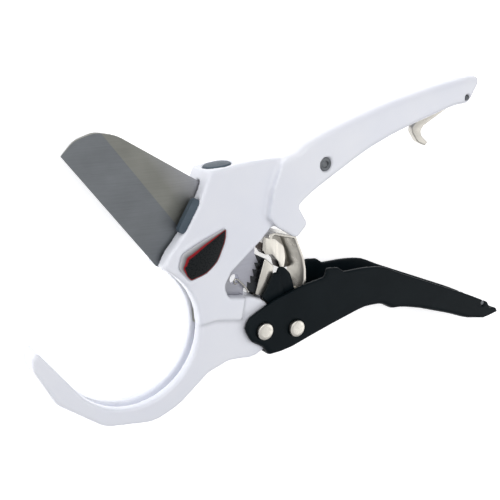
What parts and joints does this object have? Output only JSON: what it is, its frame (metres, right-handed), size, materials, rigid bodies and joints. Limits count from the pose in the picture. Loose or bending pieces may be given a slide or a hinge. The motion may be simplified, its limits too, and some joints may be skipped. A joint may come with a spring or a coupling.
{
  "type": "ratcheting pvc pipe cutter",
  "caption": "Hand-held ratcheting pipe cutter: white slotted hook jaw and grip, swinging steel blade, pawls, black lower handle and a latch hook.",
  "frame": {"origin": "centre of the bounding box in X and Y, on the level that the tool lies on", "axes": "+X from the hook jaw towards the ends of the handles, +Y towards the open blade, +Z across the tool towards the side with the label"},
  "size_m": [0.1994, 0.1094, 0.0182],
  "materials": {
    "white_enamel": "glossy enamel on a die casting",
    "black_enamel": "satin black coating on sheet steel",
    "nickel": "warm nickel plate",
    "blade_steel": "fine ground, ground bevel along the edge",
    "dark_rubber": "dark blue-grey, smooth",
    "label_film": "printed film with a silver rim and a red band",
    "dark_steel": "blackened",
    "spring_steel": "bright drawn wire"
  },
  "bodies": {
    "body": {"body": "white_enamel", "label_plate": "label_film", "front_pad_near": "dark_rubber", "front_pad_far": "dark_rubber", "top_pad": "dark_rubber", "blade_bush": "nickel", "blade_bolt": "nickel", "bolt_washer": "nickel", "blade_spring": "spring_steel", "grip_screw": "dark_steel", "latch_pin": "dark_steel", "check_pin": "nickel"},
    "blade": {"blade": "blade_steel"},
    "lower_handle": {"lower_handle": "black_enamel", "handle_rivet": "nickel", "pawl_rivet": "nickel", "catch_pin": "dark_steel"},
    "feed_pawl": {"feed_pawl": "nickel", "pawl_carrier": "black_enamel", "feed_pawl_spring": "spring_steel", "handle_spring": "spring_steel"},
    "check_pawl": {"check_pawl": "nickel"},
    "latch_hook": {"latch_hook": "nickel", "latch_spring": "spring_steel"}
  },
  "joints": [
    {"name": "blade_swing", "type": "hinge", "parent": "body", "child": "blade", "pos_m": [-0.03881, -0.00022, 0.0091], "axis": [0, 0, 1], "range_deg": [0, 111]},
    {"name": "handle_squeeze", "type": "hinge", "parent": "body", "child": "lower_handle", "pos_m": [-0.01681, -0.02962, 0.0091], "axis": [0, 0, 1], "range_deg": [0, 37]},
    {"name": "feed_pawl_follow", "type": "hinge", "parent": "lower_handle", "child": "feed_pawl", "pos_m": [-0.00331, -0.03112, 0.0091], "axis": [0, 0, 1], "range_deg": [-39, 0]},
    {"name": "check_pawl_lift", "type": "hinge", "parent": "body", "child": "check_pawl", "pos_m": [-0.01241, -0.02052, 0.0091], "axis": [0, 0, 1], "range_deg": [-5, 0]},
    {"name": "latch_hook_swing", "type": "hinge", "parent": "body", "child": "latch_hook", "pos_m": [0.07319, 0.04668, 0.0091], "axis": [0, 0, 1], "range_deg": [0, 53]}
  ],
  "couplings": [
    {"joint": "feed_pawl_follow", "follows": "handle_squeeze", "ratio": -1.05}
  ]
}
